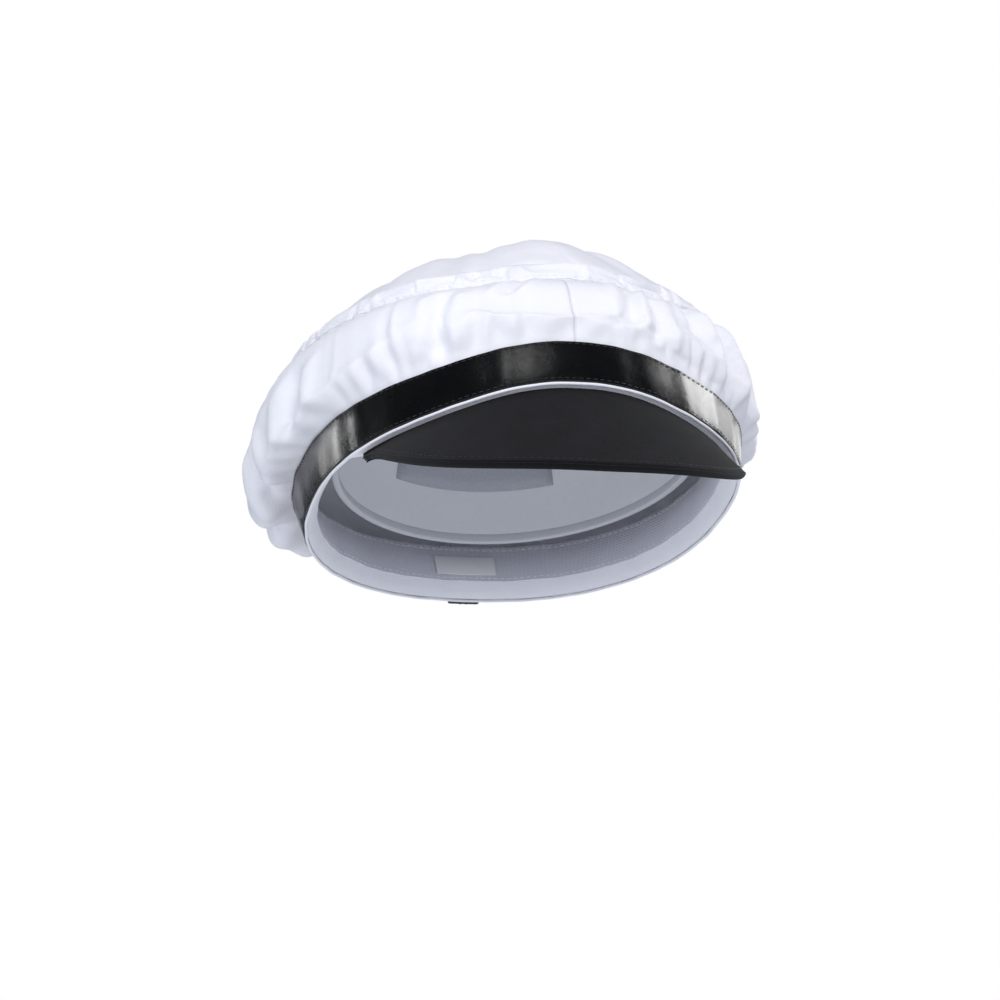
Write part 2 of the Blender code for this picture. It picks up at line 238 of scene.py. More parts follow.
def crown_side(g, t, v):
    """Side panel: v from -1 (tucked edge) through 0 (top of the band) to 1 (seam)."""
    t, v = np.broadcast_arrays(np.asarray(t, float), np.asarray(v, float))
    d = -g.leather_t - PLY_GAP - g.cloth_t / 2
    tuck = np.minimum(v, 0.0) * TUCK
    base = band(g, t, g.band_width + 0.0004 + tuck, d)
    _, n = rim(g, t)
    c = np.cos(np.radians(t))
    front, back = smooth(c, -0.2, 1.0), smooth(-c, -0.2, 1.0)
    bulge = g.side_bulge + (g.front_bulge - g.side_bulge) * front
    seam = 0.006 - 0.018 * front - 0.004 * back
    w = np.maximum(v, 0.0)
    rise = g.seam_z - base[..., 2]
    a, b = (1 - w) ** 2 * w * 3, (1 - w) * w * w * 3
    # Slack cloth hangs in a low pouch behind the right ear.
    pouch = bell(wrapped(t - POUCH_AT), POUCH_SPREAD)
    out = a * (bulge * (0.82 - 0.42 * front) + POUCH_OUT * pouch) + w ** 3 * seam
    out += b * (bulge * 1.04 - 0.10 * np.abs(seam))
    q = base + n * out[..., None]
    low = 0.28 + 0.16 * front - POUCH_DROP * pouch
    q[..., 2] += a * rise * low + b * rise * 0.88 + w ** 3 * rise
    q[..., 0] -= 0.0012 * smooth(w, 0.0, 0.6)
    return q


def crown_top(g, t, v):
    """Top panel: v from 0 at its centre to 1 at the seam."""
    t, v = np.broadcast_arrays(np.asarray(t, float), np.asarray(v, float))
    edge = crown_side(g, t, 1.0 + 0 * t)
    mid = np.array([0.004, -0.006, 0.0])
    q = mid + (edge - mid) * v[..., None]
    q[..., 2] = g.seam_z + g.top_rise * np.maximum(1.0 - v * v, 0.0) ** 0.6
    return q


def dome(g, phi, alpha, d=0.0):
    """Hard shell: alpha from 0 at the top to 90 at the brim, d outward."""
    phi, alpha = np.broadcast_arrays(np.asarray(phi, float), np.asarray(alpha, float))

    def face(f, a):
        e = 2.0 / DOME_POWER
        r = np.abs(np.sin(np.radians(a))) ** e
        s, c = np.sin(np.radians(f)), np.cos(np.radians(f))
        z = g.shell_brim + g.shell_rise * np.abs(np.cos(np.radians(a))) ** e
        return np.stack([g.shell_half_width * r * s, -g.shell_half_length * r * c, z], -1)

    p = face(phi, alpha)
    lo, hi = np.clip(alpha - 0.5, 0.3, 88.9), np.clip(alpha + 0.5, 1.3, 89.9)
    n = np.cross(face(phi, hi) - face(phi, lo), face(phi + 0.5, alpha) - face(phi - 0.5, alpha))
    n /= np.maximum(np.linalg.norm(n, axis=-1, keepdims=True), 1e-12)
    n[alpha < 0.01] = (0.0, 0.0, 1.0)
    return p + n * np.asarray(d, float)[..., None] if np.ndim(d) else p + n * d


def peak_reach(g, t):
    """Length of the peak at t degrees from the front."""
    x = np.minimum(np.abs(t) / g.peak_angle, 1.0)
    return g.peak_length * (1.0 - x ** PEAK_POWER) ** PEAK_ROUND


def peak(g, t, v, d):
    """v down the peak from the bend under the rim, negative up the hidden flange."""
    t, v, d = np.broadcast_arrays(*(np.asarray(x, float) for x in (t, v, d)))
    middle = -g.leather_t - g.cloth_t * 2 - 0.0009 - 0.0013
    x2 = (t / g.peak_angle) ** 2
    up = band(g, t, -0.001 - 0.0022 * x2 - np.minimum(v, 0.0), middle + d * (v < 0))
    _, n = rim(g, t)
    a = (g.peak_slope - g.peak_lift * x2)[..., None]
    z = np.array([0.0, 0.0, 1.0])
    w = np.maximum(v, 0.0)[..., None]
    down = (n * np.cos(a) - z * np.sin(a)) * w
    off = (n * np.sin(a) + z * np.cos(a)) * (d * (v >= 0))[..., None]
    return up + down + off


# ------------------------------------------------------------------------------ mesh making
def new_object(name, verts, faces, uvs=None):
    """Smooth-shaded mesh object, with one UV per vertex if they are given."""
    me = bpy.data.meshes.new(name)
    me.from_pydata([tuple(v) for v in verts], [], faces)
    if uvs is not None:
        layer = me.uv_layers.new(name="cloth")
        flat = np.asarray(uvs, float)[[loop.vertex_index for loop in me.loops]]
        layer.data.foreach_set("uv", flat.ravel())
    me.update()
    me.polygons.foreach_set("use_smooth", [True] * len(me.polygons))
    ob = bpy.data.objects.new(name, me)
    bpy.context.scene.collection.objects.link(ob)
    return ob


def grid_faces(nu, nv, closed=False, wrap=False, skip=()):
    """Quads over nu columns of nv points; closed joins the columns up, wrap the rows."""
    cols, rows = nu if closed else nu - 1, nv if wrap else nv - 1
    skip = set(skip)
    return [(i * nv + j, (i + 1) % nu * nv + j, (i + 1) % nu * nv + (j + 1) % nv,
             i * nv + (j + 1) % nv) for i in range(cols) for j in range(rows)
            if (i, j) not in skip]


def lengths(p, axis):
    """Running length along one axis of a grid of points, averaged over the other."""
    step = np.linalg.norm(np.diff(p, axis=axis), axis=-1).mean(axis=1 - axis)
    return np.concatenate([[0.0], np.cumsum(step)])


def skin(name, p, closed=False, skip=(), tip=None):
    """Grid of points to a surface, with its UVs in metres along the cloth."""
    nu, nv = p.shape[:2]
    u, v = lengths(p, 0), lengths(p, 1)
    uv = np.stack(np.meshgrid(u, v, indexing="ij"), -1).reshape(-1, 2)
    verts, faces = list(p.reshape(-1, 3)), grid_faces(nu, nv, closed, False, skip)
    if tip is not None:
        verts.append(tip)
        uv = np.vstack([uv, [[0.0, 0.0]]])
        faces += [(len(verts) - 1, (i + 1) % nu * nv, i * nv) for i in range(nu)]
    return new_object(name, verts, faces, uv)


def rounded(s0, s1, d0, d1, r, steps=3):
    """Cross-section of a strip with softened edges, as (s, d) pairs."""
    out = []
    corners = ((s1 - r, d1 - r, 0), (s0 + r, d1 - r, 90), (s0 + r, d0 + r, 180),
               (s1 - r, d0 + r, 270))
    for cs, cd, start in corners:
        for k in range(steps + 1):
            a = math.radians(start + 90 * k / steps)
            out.append((cs + r * math.cos(a), cd + r * math.sin(a)))
    return np.array(out)


def sweep(name, point, ts, profile, closed=False, wave=None):
    """Strip of one cross-section along t, capped at its ends when it is open."""
    s, d = profile[:, 0], profile[:, 1]
    shift = wave(ts)[:, None] if wave else 0.0
    return tube(name, point(ts[:, None], s[None], d[None] + shift), s, closed)


def tube(name, p, across, closed=False):
    """Grid of points round a strip to a closed surface; across holds one UV per column."""
    nu, nv = p.shape[:2]
    faces = grid_faces(nu, nv, closed, True)
    if not closed:
        faces += [tuple(range(nv))[::-1], tuple((nu - 1) * nv + j for j in range(nv))]
    uv = np.stack(np.meshgrid(lengths(p, 0), across, indexing="ij"), -1)
    ob = new_object(name, p.reshape(-1, 3), faces, uv.reshape(-1, 2))
    outward(ob)
    return ob


def outward(ob):
    """Makes the faces of a closed surface look outward."""
    bm = bmesh.new()
    bm.from_mesh(ob.data)
    bmesh.ops.recalc_face_normals(bm, faces=bm.faces)
    bm.to_mesh(ob.data)
    bm.free()


def modify(ob, kind, **settings):
    """Adds a modifier with the given settings."""
    m = ob.modifiers.new(kind.title(), kind)
    for key, value in settings.items():
        setattr(m, key, value)
    return m


def thicken(ob, amount, offset=0.0):
    modify(ob, "SOLIDIFY", thickness=amount, offset=offset, use_rim=True)


def stitches(name, path, normals, length, pitch, radius, closed=False, sink=0.35):
    """A row of stitches along a path, each a short rounded thread lying on the surface."""
    sides = 6
    path, normals = np.asarray(path, float), np.asarray(normals, float)
    if closed:
        path, normals = np.vstack([path, path[:1]]), np.vstack([normals, normals[:1]])
    run = np.concatenate([[0.0], np.cumsum(np.linalg.norm(np.diff(path, axis=0), axis=1))])
    count = max(int(run[-1] / pitch), 1)
    verts, faces = [], []
    # Places along one stitch, as shares of its length, and the thread's girth there.
    shape = [(-0.5, 0.15), (-0.38, 0.8), (0.0, 1.0), (0.38, 0.8), (0.5, 0.15)]
    last = (len(shape) - 1) * sides

    def at(x, values):
        x = np.clip(x, 0.0, run[-1])
        return np.array([np.interp(x, run, values[:, k]) for k in range(3)])

    for i in range(count):
        mid = (i + 0.5) * run[-1] / count
        a, b = at(mid - length / 2, path), at(mid + length / 2, path)
        c, n = at(mid, path), at(mid, normals)
        n /= np.linalg.norm(n)
        along = (b - a) / max(np.linalg.norm(b - a), 1e-9)
        side = np.cross(n, along)
        first = len(verts)
        for x, r in shape:
            m = c + along * length * x + n * radius * (0.6 * (1 - 4 * x * x) - sink)
            for k in range(sides):
                w = math.tau * k / sides
                verts.append(m + (side * math.cos(w) + n * math.sin(w)) * radius * r)
        for j in range(len(shape) - 1):
            for k in range(sides):
                q, e = first + j * sides, (k + 1) % sides
                faces.append((q + k, q + e, q + sides + e, q + sides + k))
        faces.append(tuple(first + k for k in range(sides))[::-1])
        faces.append(tuple(first + last + k for k in range(sides)))
    return new_object(name, verts, faces)


def normals_of(point, t, s, d):
    """Outward directions on a surface, a thousandth of a metre long."""
    return point(t, s, d + 0.001) - point(t, s, d)


def noise_1d(t, count, seed):
    """Smooth wandering value round the cap, about -1 to 1, with count waves."""
    rng = np.random.default_rng(seed)
    out = np.zeros_like(t, dtype=float)
    for k in (0.7, 1.0, 1.37):
        height, waves = rng.uniform(0.5, 1.0), np.radians(t) * round(count * k)
        out += height * np.sin(waves + rng.uniform(0, math.tau))
    return out / 1.9


def settle(ob, body, slot, mat, *nodes):
    """Finish a piece: its material, the body it moves with and the solids it stands for."""
    ob.data.materials.clear()
    ob.data.materials.append(mat)
    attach(ob, body)
    if nodes:
        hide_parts(*nodes)
    return ob


# --------------------------------------------------------------------------------- materials
def add(tree, kind, links=(), **settings):
    """Adds one node. Settings name properties or input sockets; links are (output, input)."""
    node = tree.nodes.new(kind)
    for key, value in settings.items():
        if hasattr(node, key):
            setattr(node, key, value)
        else:
            label = key.replace("_", " ").lower()
            socket = next(s for s in node.inputs if s.name.lower() == label)
            socket.default_value = value
    for source, target in links:
        tree.links.new(source, node.inputs[target])
    return node


def new_material(name, base, roughness, **settings):
    """A material with its tree and shader; no tree if it has been made before."""
    m = bpy.data.materials.get(name)
    if m:
        return m, None, None
    m = bpy.data.materials.new(name)
    m.use_nodes = True
    m.diffuse_color = (*base, 1.0)
    shader = m.node_tree.nodes["Principled BSDF"]
    shader.inputs["Base Color"].default_value = (*base, 1.0)
    shader.inputs["Roughness"].default_value = roughness
    for key, value in settings.items():
        shader.inputs[key.replace("_", " ")].default_value = value
    return m, m.node_tree, shader


def tint(tree, shader, source, base, dark, light, low=0.3, high=0.7):
    """Colour that varies between base*dark and base*light with a texture's value."""
    ramp = add(tree, "ShaderNodeValToRGB", [(source, "Fac")])
    ramp.color_ramp.elements[0].position = low
    ramp.color_ramp.elements[1].position = high
    ramp.color_ramp.elements[0].color = (*[c * dark for c in base], 1.0)
    ramp.color_ramp.elements[1].color = (*[min(c * light, 1.0) for c in base], 1.0)
    tree.links.new(ramp.outputs["Color"], shader.inputs["Base Color"])


def bump(tree, shader, height, strength, distance, below=None):
    """Bump from a height, on top of the bump below it."""
    links = [(height, "Height")]
    if below is not None:
        links.append((below.outputs["Normal"], "Normal"))
    node = add(tree, "ShaderNodeBump", links, Strength=strength, Distance=distance)
    tree.links.new(node.outputs["Normal"], shader.inputs["Normal"])
    return node


def woven(name, base, thread, roughness=0.8, sheen=0.25, depth=0.5, fuzz=0.2, mottle=0.03):
    """Plain-woven cloth: two crossing sets of threads, thread metres apart, in the UVs."""
    m, tree, shader = new_material(name, base, roughness, Sheen_Weight=sheen,
                                   Sheen_Roughness=0.5, Specular_IOR_Level=0.3)
    if tree is None:
        return m
    uv = add(tree, "ShaderNodeUVMap", uv_map="cloth")
    waves = [add(tree, "ShaderNodeTexWave", [(uv.outputs["UV"], "Vector")], wave_type="BANDS",
                 bands_direction=axis, wave_profile="SIN", Scale=0.314 / thread / 2,
                 Distortion=0.6, Detail=1.0) for axis in ("X", "Y")]
    cross = add(tree, "ShaderNodeMath", [(waves[0].outputs["Fac"], 0),
                                         (waves[1].outputs["Fac"], 1)], operation="MULTIPLY")
    coord = add(tree, "ShaderNodeTexCoord")
    soft = add(tree, "ShaderNodeTexNoise", [(coord.outputs["Object"], "Vector")], Scale=60.0,
               Detail=4.0, Roughness=0.6)
    tint(tree, shader, soft.outputs["Fac"], base, 1.0 - mottle, 1.0 + mottle)
    first = bump(tree, shader, soft.outputs["Fac"], fuzz, 0.002)
    bump(tree, shader, cross.outputs["Value"], depth, thread * 0.35, first)
    return m


def cloth_white(c):
    # White poly-cotton, plain woven and ironed: bright, with a faint satin sheen. Its threads
    # are drawn 0.7 mm apart, coarser than real ones, so that they show.
    return woven("poly_cotton_white", tuple(c.cloth), 0.0007, roughness=0.62, sheen=0.30,
                 depth=0.14, fuzz=0.25, mottle=0.015)


def leatherette(c):
    # PVC-coated fabric, embossed and glossy: deep black with soft streaky highlights from a
    # pebbled grain about 0.9 mm across.
    base = tuple(c.leatherette)
    m, tree, shader = new_material("leatherette_black_gloss", base, 0.26, Coat_Weight=0.15,
                                   Coat_Roughness=0.14, Specular_IOR_Level=0.5)
    if tree is None:
        return m
    coord = add(tree, "ShaderNodeTexCoord")
    grain = add(tree, "ShaderNodeTexVoronoi", [(coord.outputs["Object"], "Vector")],
                feature="DISTANCE_TO_EDGE", Scale=1100.0)
    slow = add(tree, "ShaderNodeTexNoise", [(coord.outputs["Object"], "Vector")], Scale=70.0,
               Detail=3.0)
    rough = add(tree, "ShaderNodeMapRange", [(slow.outputs["Fac"], "Value")], To_Min=0.20,
                To_Max=0.34)
    tree.links.new(rough.outputs["Result"], shader.inputs["Roughness"])
    tint(tree, shader, slow.outputs["Fac"], base, 0.8, 1.3)
    first = bump(tree, shader, slow.outputs["Fac"], 0.12, 0.004)
    bump(tree, shader, grain.outputs["Distance"], 0.22, 0.0004, first)
    return m


def felted(name, base, sheen):
    # Brushed charcoal cloth bonded over a board: matte, short fibres a fraction of a
    # millimetre long, drawn as coarse specks.
    m, tree, shader = new_material(name, base, 0.95, Sheen_Weight=sheen,
                                   Sheen_Roughness=0.6, Specular_IOR_Level=0.08)
    if tree is None:
        return m
    coord = add(tree, "ShaderNodeTexCoord")
    fibre = add(tree, "ShaderNodeTexNoise", [(coord.outputs["Object"], "Vector")], Scale=1600.0,
                Detail=4.0, Roughness=0.8)
    cloud = add(tree, "ShaderNodeTexNoise", [(coord.outputs["Object"], "Vector")], Scale=90.0,
                Detail=5.0)
    mix = add(tree, "ShaderNodeMath", [(fibre.outputs["Fac"], 0), (cloud.outputs["Fac"], 1)],
              operation="MULTIPLY")
    tint(tree, shader, mix.outputs["Value"], base, 0.65, 1.6, 0.15, 0.45)
    bump(tree, shader, fibre.outputs["Fac"], 0.35, 0.0006)
    return m


def plain(name, base, roughness, scale, depth, spread=0.08, **settings):
    """Moulded or foamed finish: a fine texture of the given scale in both colour and bump."""
    m, tree, shader = new_material(name, base, roughness, **settings)
    if tree is None:
        return m
    coord = add(tree, "ShaderNodeTexCoord")
    grain = add(tree, "ShaderNodeTexNoise", [(coord.outputs["Object"], "Vector")], Scale=scale,
                Detail=4.0, Roughness=0.65)
    tint(tree, shader, grain.outputs["Fac"], base, 1.0 - spread, 1.0 + spread)
    bump(tree, shader, grain.outputs["Fac"], depth, 0.5 / scale)
    return m


def sewing_thread(dark):
    # Spun polyester sewing thread, slightly lustrous.
    if dark:
        return plain("sewing_thread_black", linear("#2B2B30"), 0.5, 2500, 0.3)
    return plain("sewing_thread_white", linear("#F1F1F8"), 0.55, 2500, 0.3)


# ------------------------------------------------------------------------------- operators
class CAP_OT_crown(bpy.types.Operator):
    """Gathered crown: two side panels and a round top panel, sewn, puffed and creased."""
    bl_idname = "bump_cap.crown"
    bl_label = "Crown"

    def shape(self, g):
        """Points, heights v and normals of the cloth before it settles, with its gathers."""
        columns = 300
        t = np.arange(columns) * 360.0 / columns
        side_v = np.concatenate([[-1.0, -0.5, -0.1], np.linspace(0.03, 1.0, 26) ** 0.92])
        top_v = np.cos(np.linspace(0.0, 1.52, 26))[1:]
        side = crown_side(g, t[:, None], side_v[None])
        top = crown_top(g, t[:, None], top_v[None])
        p = np.concatenate([side, top], 1)
        du = np.roll(p, -1, 0) - np.roll(p, 1, 0)
        dv = np.gradient(p, axis=1)
        n = np.cross(du, dv)
        n /= np.linalg.norm(n, axis=-1, keepdims=True)
        t, v = np.meshgrid(t, np.concatenate([side_v, 2.0 - top_v]), indexing="ij")
        pucker, slack, wide = self.puckers(t, v)
        p = p + n * (self.gathers(g, t, v) + self.folds(t, v) + pucker + slack + wide)[..., None]
        for middle, spread, height in SWELLS:
            x = wrapped(t - middle)
            p[..., 2] += height * np.exp(-(x / spread) ** 2 - ((v - 1.25) / 0.33) ** 2)
        return p, v, n

    def gathers(self, g, t, v):
        """Small ridges that the band makes, fading upwards."""
        girth = 2 * math.pi * math.sqrt((g.half_width ** 2 + g.half_length ** 2) / 2)
        count = girth / g.gather_pitch
        drift = 5.0 * noise_1d(t + 12 * v, 5, 3)
        fine = np.sin(np.radians(t) * round(count) + 2.4 * noise_1d(t, 13, 11) + drift * 0.2)
        coarse = np.sin(np.radians(t) * round(count * 0.61) + 2.0 * noise_1d(t, 9, 5))
        near = np.exp(-np.maximum(v, 0) / 0.30) * smooth(v, -0.01, 0.06)
        ridge = 1.0 - 2.0 * np.abs(fine) ** 0.8 + 0.8 * coarse
        strength = 0.60 + 0.40 * noise_1d(t, 7, 21)
        return g.gather_depth * near * ridge * strength

    def folds(self, t, v):
        """Long folds that start at the band and fade below the seam, and the named creases."""
        fold = np.zeros_like(v)
        rng = np.random.default_rng(8)
        count = 44
        for k in range(count):
            c = (k + rng.uniform(-0.38, 0.38)) * 360.0 / count
            width = rng.uniform(1.0, 2.2)
            reach = rng.uniform(0.25, 0.80)
            deep = rng.uniform(0.0006, 0.0019)
            slant = rng.uniform(-9.0, 9.0)
            along = smooth(v, -0.01, 0.22) * (1 - smooth(v, reach * 0.25, reach))
            self.groove(fold, wrapped(t - c - slant * v), width, deep, along, 0.6, 2.0)
        for t0, v0, t1, v1, width, deep in CREASES:
            f = np.clip((v - v0) / (v1 - v0), 0, 1)
            along = smooth(v, v0 - 0.06, v0 + 0.08) * (1 - smooth(v, v1 - 0.12, v1 + 0.05))
            self.groove(fold, wrapped(t - (t0 + (t1 - t0) * f)), width, deep, along, 0.5, 2.1)
        return fold

    def groove(self, fold, x, width, deep, along, lip, lip_at):
        """Adds to fold a groove with a raised lip on either side."""
        fold -= deep * bell(x, width) * along
        fold += lip * deep * bell(np.abs(x) - lip_at * width, width) * along

    def puckers(self, t, v):
        """Puckers along the seam of side and top, slack in the top panel, and wide waves."""
        pucker = bell(v - 1.0, 0.09) * 0.0004 * noise_1d(t, 57, 2) - 0.0006 * bell(v - 1, 0.03)
        slack = smooth(v, 1.02, 1.3) * (0.0013 * noise_1d(t, 9, 31) * (2.0 - v)
                                        + 0.0010 * noise_1d(t + 40 * v, 17, 32) * (2.0 - v))
        wide = 0.0012 * noise_1d(t + 10 * v, 6, 40) * smooth(v, 0.15, 0.6)
        return pucker, slack, wide

    def execute(self, context):
        g, c = sizes(), context.scene.cap_colours
        p, v, n = self.shape(g)
        nu, nv = p.shape[:2]
        ob = skin("crown_cloth_pattern", p, True, (), crown_top(g, 0.0, 0.0))
        out = spots(ob)
        self.relax(ob, v)
        moved = spots(ob) - out
        reach = np.linalg.norm(moved, axis=1, keepdims=True)
        # Less freedom at the band, over the forehead and on the crown's top.
        flat = v.reshape(-1)
        limit = MOVE_LIMIT * np.append(0.06 + 0.94 * smooth(flat, 0.02, 0.35), 1.0)
        ahead = np.repeat(np.cos(np.arange(nu) * math.tau / nu), nv)
        limit[:-1] *= 1.0 - 0.5 * smooth(ahead, 0.2, 0.9) * (flat < 1.0)
        limit[:-1] *= 1.0 - 0.95 * smooth(flat, 1.08, 1.42)
        moved *= np.minimum(1.0, limit[:, None] / np.maximum(reach, 1e-9))
        out = out + moved
        out = clear_of_shell(g, out)
        grid = out[:-1].reshape(nu, nv, 3)
        middle_top = grid[:, -1].mean(axis=0)
        bpy.data.objects.remove(ob)
        seam = int(np.flatnonzero(v[0] == 1.0)[0])
        grid = np.concatenate([refine(grid[:, :seam + 1], 1, False)[:, :-1],
                               refine(grid[:, seam:], 1, False)], 1)
        grid, n = refine(grid, 0, True), refine(refine(n, 1, False), 0, True)
        nu, nv, seam = grid.shape[0], grid.shape[1], seam * 2
        half = nu // 2
        side = grid[:, :seam + 1]
        cloth = cloth_white(c)
        panels = (
            ("crown_panel_left", side[:half + 1], None, ("crown_side_left",)),
            ("crown_panel_right", np.concatenate([side[half:], side[:1]]), None,
             ("crown_side_right",)),
            ("crown_panel_top", grid[:, seam:][:, ::-1], middle_top,
             ("crown_top_panel", "crown_seam_tape")),
        )
        for name, points, middle, nodes in panels:
            on_top = middle is not None
            part = skin(name, points, on_top, (), middle)
            outward_from(part, np.array([0.0, 0.0, 0.05]))
            thicken(part, CLOTH_T, -1.0)
            settle(part, "cap", "white_cloth", cloth, *nodes)
        row = stitches("crown_seam_stitches", grid[:, seam + 2], n[:, seam + 2], 0.0022, 0.0030,
                       0.00016, True, 0.3)
        settle(row, "cap", "white_cloth", sewing_thread(False))
        return {"FINISHED"}

    def relax(self, ob, v):
        """Lets the cloth settle: held at the band, softly held above, given spare length."""
        hold = ob.vertex_groups.new(name="hold")
        at_band, at_seam, free = 1.0, 0.35, 0.05
        flat = v.reshape(-1)
        for i, x in enumerate(flat):
            w = at_band if x <= 0.02 else at_seam if abs(x - 1.0) < 0.025 else free
            hold.add([i], w, "REPLACE")
        hold.add([len(flat)], free, "REPLACE")
        cloth = modify(ob, "CLOTH")
        s = cloth.settings
        s.quality = 4
        s.mass = 0.12
        s.tension_stiffness = s.compression_stiffness = 12.0
        s.shear_stiffness = 4.0
        s.bending_stiffness = 0.08
        s.air_damping = 2.0
        s.vertex_group_mass = "hold"
        s.pin_stiffness = 0.6
        s.shrink_min = s.shrink_max = -0.032
        s.use_pressure = True
        s.uniform_pressure_force = 0.20
        s.effector_weights.gravity = 0.35
        cloth.collision_settings.use_collision = False
        cloth.collision_settings.use_self_collision = False
        scene = bpy.context.scene
        steps = scene.cap_stage.cloth_frames
        cloth.point_cache.frame_start, cloth.point_cache.frame_end = 1, steps
        for f in range(1, steps + 1):
            scene.frame_set(f)
        deps = bpy.context.evaluated_depsgraph_get()
        done = ob.evaluated_get(deps).to_mesh()
        settled = [w.co.copy() for w in done.vertices]
        ob.modifiers.clear()
        for w, co in zip(ob.data.vertices, settled, strict=True):
            w.co = co
        scene.frame_set(1)


# Single creases: azimuth and height of both ends, half width in degrees, depth.
CREASES = (
    (-62, 0.55, -44, 0.16, 3.2, 0.0050),
    (-34, 0.10, -31, 0.72, 2.4, 0.0034),
    (-14, 0.62, -9, 0.98, 2.0, 0.0024),
    (-82, 0.20, -76, 0.62, 3.0, 0.0040),
    (14, 0.30, 17, 0.90, 2.4, 0.0026),
    (21, 0.18, 24, 0.84, 2.2, 0.0030),
    (37, 0.45, 38, 0.95, 2.2, 0.0026),
    (52, 0.12, 46, 0.80, 2.4, 0.0046),
    (66, 0.20, 60, 0.75, 2.6, 0.0034),
    (-105, 0.10, -98, 0.60, 3.4, 0.0048),
    (-122, 0.10, -128, 0.70, 3.2, 0.0036),
    (96, 0.12, 88, 0.70, 3.0, 0.0036),
    (128, 0.10, 122, 0.75, 3.0, 0.0036),
    (158, 0.12, 164, 0.75, 3.2, 0.0034),
    (-160, 0.12, -150, 0.70, 3.2, 0.0036),
)
# Where the crown's top stands higher or lower: azimuth, spread in degrees, height.
SWELLS = ((4.0, 36.0, 0.0026), (-46.0, 17.0, -0.0040))


def spots(ob):
    """The places of an object's vertices."""
    return np.array([w.co[:] for w in ob.data.vertices])


def clear_of_shell(g, p):
    """Pushes cloth points out of the hard shell, where the crown rests on it."""
    a, b = g.shell_half_width + 0.0022, g.shell_half_length + 0.0022
    rho = np.hypot(p[:, 0] / a, p[:, 1] / b)
    inside = np.maximum(1.0 - np.minimum(rho, 1.0) ** DOME_POWER, 0.0) ** (1 / DOME_POWER)
    top = g.shell_brim + (g.shell_rise + 0.0048) * inside
    low = (rho < 1.0) & (p[:, 2] < top) & (p[:, 2] > g.shell_brim + 0.012)
    q = p.copy()
    q[low, 2] = top[low]
    return q


def outward_from(ob, centre):
    """Makes the faces look away from a point."""
    me = ob.data
    score = sum((np.array(f.center) - centre) @ np.array(f.normal) for f in me.polygons)
    if score < 0:
        me.flip_normals()


def refine(p, axis, closed):
    """Puts a smooth new row between every two rows of a grid of points."""
    p = np.moveaxis(p, axis, 0)
    if closed:
        a, b, c, d = np.roll(p, 1, 0), p, np.roll(p, -1, 0), np.roll(p, -2, 0)
    else:
        a = np.concatenate([2 * p[:1] - p[1:2], p[:-2]])
        b, c = p[:-1], p[1:]
        d = np.concatenate([p[2:], 2 * p[-1:] - p[-2:-1]])
    new = (9 * (b + c) - a - d) / 16
    out = np.empty((len(p) + len(new), *p.shape[1:]))
    out[0::2], out[1::2] = p, new
    return np.moveaxis(out, 0, axis)


class CAP_OT_band(bpy.types.Operator):
    """Black leatherette band with its stitches, white piping and the layers behind it."""
    bl_idname = "bump_cap.band"
    bl_label = "Band"

    def execute(self, context):
        g, c = sizes(), context.scene.cap_colours
        on_band = partial(band, g)

        def ripple(t):
            return 0.00018 * noise_1d(t, 23, 6) + 0.00012 * noise_1d(t, 41, 7)

        ts = np.linspace(-g.leather_end, g.leather_end, 420)
        leather = sweep("leatherette_band", on_band, ts,
                        rounded(0.0, g.band_width, -g.leather_t, 0.0002, 0.0005), False, ripple)
        settle(leather, "cap", "leatherette", leatherette(c), "leather_band")
        for name, s in (("band_stitches_top", g.band_width - 0.0012),
                        ("band_stitches_bottom", 0.0013)):
            path = on_band(ts, s, 0.0002 + ripple(ts))
            row = stitches(name, path, normals_of(on_band, ts, s, 0.0), g.stitch,
                           g.stitch_pitch, 0.00024)
            settle(row, "cap", "leatherette", sewing_thread(True))
        full = np.linspace(-180, 180, 481)[:-1]
        r = g.piping / 2
        ring = np.array([(-0.00022 - r + r * math.cos(a), -0.0002 - r * 0.45 + r * math.sin(a))
                         for a in np.linspace(0, math.tau, 13)[:-1]])
        cord = sweep("white_piping", on_band, full, ring, True,
                     lambda t: 0.00012 * noise_1d(t, 31, 9))
        settle(cord, "cap", "white_cloth", cloth_white(c), "band_piping")
        d = -g.leather_t - g.cloth_t - 2 * PLY_GAP
        low = 0.0036             # these layers start above the rim's turned facing
        rear = 180 - g.rear_angle
        base = sweep("headband_cloth", on_band, np.linspace(-rear + 0.5, rear - 0.5, 260),
                     rounded(low, g.band_width, d - g.cloth_t, d, 0.0003))
        settle(base, "cap", "white_cloth", cloth_white(c), "headband_base")
        ribs = np.linspace(rear, 360 - rear, 241)
        elastic = sweep("ribbed_elastic", on_band, ribs,
                        rounded(low, g.band_width, d - 0.0010, d - 0.0001, 0.0003), False,
                        lambda t: 0.00012 * np.sin(np.radians(t) * 190))
        # Knitted elastic webbing, with its ribs across it and threads 1 mm apart.
        finish = woven("elastic_webbing_white", tuple(c.elastic), 0.0010, roughness=0.7,
                       sheen=0.2, depth=0.6, fuzz=0.1)
        settle(elastic, "cap", "elastic", finish, "rear_elastic")
        d -= g.cloth_t + PLY_GAP
        # Buckram: stiffened open-weave cotton, its threads about 1 mm apart.
        stiff = woven("buckram_natural", tuple(c.buckram), 0.0010, roughness=0.85, sheen=0.1,
                      depth=0.8, fuzz=0.2)
        for side, sign in (("right", -1), ("left", 1)):
            span = np.linspace(sign * (g.peak_angle + 4), sign * (rear - 4), 120)
            strip = sweep("buckram_strip_" + side, on_band, span,
                          rounded(0.0068, 0.0172, d - 0.0018, d - 0.0002, 0.0004))
            settle(strip, "cap", "buckram", stiff, "band_stiffener_" + side)
        return {"FINISHED"}


